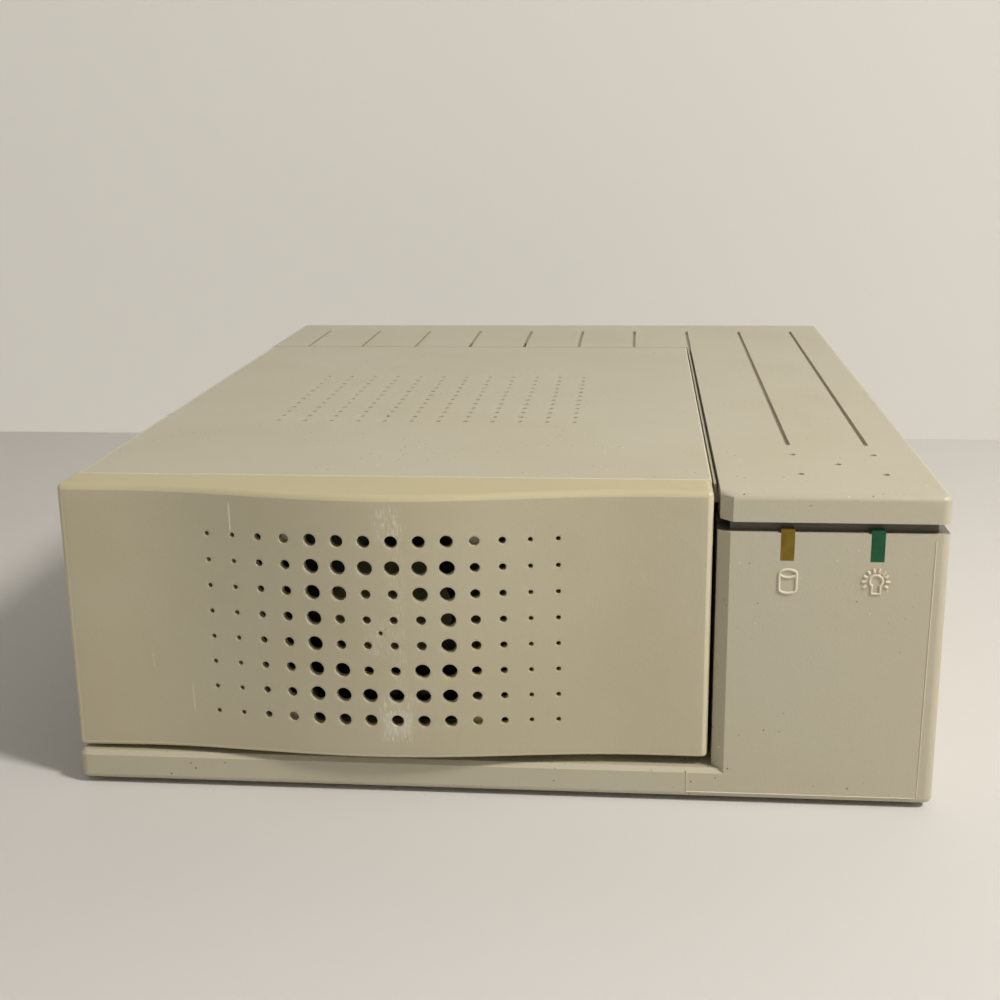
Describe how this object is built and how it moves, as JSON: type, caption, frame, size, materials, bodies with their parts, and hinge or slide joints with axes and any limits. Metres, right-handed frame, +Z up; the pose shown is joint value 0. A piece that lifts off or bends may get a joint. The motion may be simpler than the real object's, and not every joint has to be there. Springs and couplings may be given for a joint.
{
  "type": "external disk drive",
  "caption": "External disk drive in a flat desktop case: bowed perforated front panel, lift-off bay cover, side column with two lamps, fan, disk mechanism and power supply.",
  "frame": {"origin": "under the middle of the case, on the surface that its feet stand on", "axes": "+X to the right seen from the front, +Y from the front panel to the rear plate, +Z up"},
  "size_m": [0.165, 0.2148, 0.0609],
  "materials": {
    "case_plastic": "fine moulded texture, slightly yellowed",
    "bezel_plastic": "fine moulded texture, a little more yellowed",
    "amber_lens": "clear tinted light pipe",
    "green_lens": "clear tinted light pipe",
    "led_resin": "cast resin",
    "circuit_board": "solder mask",
    "rubber": "matt",
    "black_plastic": "moulded",
    "fan_plastic": "moulded",
    "cast_metal": "as cast",
    "bright_sheet": "brushed",
    "turned_metal": "turned",
    "platter_metal": "mirror polished",
    "magnet_steel": "nickel plated",
    "zinc_sheet": "zinc plated",
    "screw_steel": "zinc plated",
    "transformer_core": "varnished laminations",
    "capacitor_sleeve": "shrunk sleeve",
    "sink_metal": "extruded",
    "connector_body": "plated shell round dark insulation",
    "wire_steel": "bright wire",
    "pin_metal": "nickel plated brass",
    "rocker_plastic": "smooth",
    "wheel_plastic": "moulded",
    "button_plastic": "moulded",
    "ribbon_vinyl": "ribbed flat cable",
    "lead_vinyl": "insulated leads"
  },
  "bodies": {
    "case": {"base_chassis": "case_plastic", "top_housing": "case_plastic", "activity_lens": "amber_lens", "power_lens": "green_lens", "indicator_leds": "led_resin", "led_board": "circuit_board", "rubber_feet": "rubber", "fan_frame": "black_plastic", "drive_casting": "cast_metal", "drive_lid": "bright_sheet", "drive_board": "circuit_board", "coil_magnet": "magnet_steel", "drive_bracket": "zinc_sheet", "bracket_grommets": "rubber", "drive_screws": "screw_steel", "power_board": "circuit_board", "board_screws": "screw_steel", "transformer": "transformer_core", "filter_capacitors": "capacitor_sleeve", "heat_sink": "sink_metal", "power_shield": "zinc_sheet", "rear_plate": "zinc_sheet", "lower_connector": "connector_body", "upper_connector": "connector_body", "power_inlet": "black_plastic", "inlet_pins": "pin_metal", "rocker_body": "black_plastic", "id_switch_body": "black_plastic", "bus_ribbon": "ribbon_vinyl", "power_leads": "lead_vinyl", "mains_leads": "lead_vinyl", "housing_screws": "screw_steel"},
    "fan_rotor": {"fan_rotor": "fan_plastic"},
    "spindle": {"spindle_hub": "turned_metal", "disk_platters": "platter_metal"},
    "actuator": {"actuator_arm": "turned_metal"},
    "rocker": {"power_rocker": "rocker_plastic"},
    "lower_left_bail": {"lower_left_bail": "wire_steel"},
    "lower_right_bail": {"lower_right_bail": "wire_steel"},
    "upper_left_bail": {"upper_left_bail": "wire_steel"},
    "upper_right_bail": {"upper_right_bail": "wire_steel"},
    "id_wheel": {"id_wheel": "wheel_plastic"},
    "id_button_up": {"id_button_up": "button_plastic"},
    "id_button_down": {"id_button_down": "button_plastic"},
    "bay_cover": {"bay_cover": "case_plastic"},
    "front_panel": {"front_panel": "bezel_plastic", "panel_tongues": "bezel_plastic"}
  },
  "joints": [
    {"name": "fan_spin", "type": "hinge", "parent": "case", "child": "fan_rotor", "pos_m": [-0.021, -0.0916, 0.0333], "axis": [0, 1, 0], "continuous": true},
    {"name": "spindle_spin", "type": "hinge", "parent": "case", "child": "spindle", "pos_m": [-0.021, -0.0158, 0.0251], "axis": [0, 0, 1], "continuous": true},
    {"name": "arm_swing", "type": "hinge", "parent": "case", "child": "actuator", "pos_m": [0.009, 0.0514, 0.0198], "axis": [0, 0, 1], "range_deg": [-18, 8]},
    {"name": "power_rocker_tilt", "type": "hinge", "parent": "case", "child": "rocker", "pos_m": [0.053, 0.0994, 0.043], "axis": [1, 0, 0], "range_deg": [0, 16]},
    {"name": "lower_left_bail_swing", "type": "hinge", "parent": "case", "child": "lower_left_bail", "pos_m": [-0.0588, 0.105, 0.0175], "axis": [0, 0, 1], "range_deg": [-95, 0]},
    {"name": "lower_right_bail_swing", "type": "hinge", "parent": "case", "child": "lower_right_bail", "pos_m": [0.0178, 0.105, 0.0175], "axis": [0, 0, 1], "range_deg": [0, 95]},
    {"name": "upper_left_bail_swing", "type": "hinge", "parent": "case", "child": "upper_left_bail", "pos_m": [-0.0588, 0.105, 0.043], "axis": [0, 0, 1], "range_deg": [-95, 0]},
    {"name": "upper_right_bail_swing", "type": "hinge", "parent": "case", "child": "upper_right_bail", "pos_m": [0.0178, 0.105, 0.043], "axis": [0, 0, 1], "range_deg": [0, 95]},
    {"name": "id_wheel_turn", "type": "hinge", "parent": "case", "child": "id_wheel", "pos_m": [0.071, 0.09645, 0.043], "axis": [1, 0, 0], "continuous": true},
    {"name": "id_up_press", "type": "slide", "parent": "case", "child": "id_button_up", "axis": [0, -1, 0], "range_m": [0, 0.0012], "stiffness_N_per_m": 300, "springref_m": -0.001},
    {"name": "id_down_press", "type": "slide", "parent": "case", "child": "id_button_down", "axis": [0, -1, 0], "range_m": [0, 0.0012], "stiffness_N_per_m": 300, "springref_m": -0.001},
    {"name": "bay_cover_lift", "type": "slide", "parent": "case", "child": "bay_cover", "axis": [0, 0, 1], "range_m": [0, 0.06]},
    {"name": "front_panel_pull", "type": "slide", "parent": "case", "child": "front_panel", "axis": [0, -1, 0], "range_m": [0, 0.025]}
  ]
}
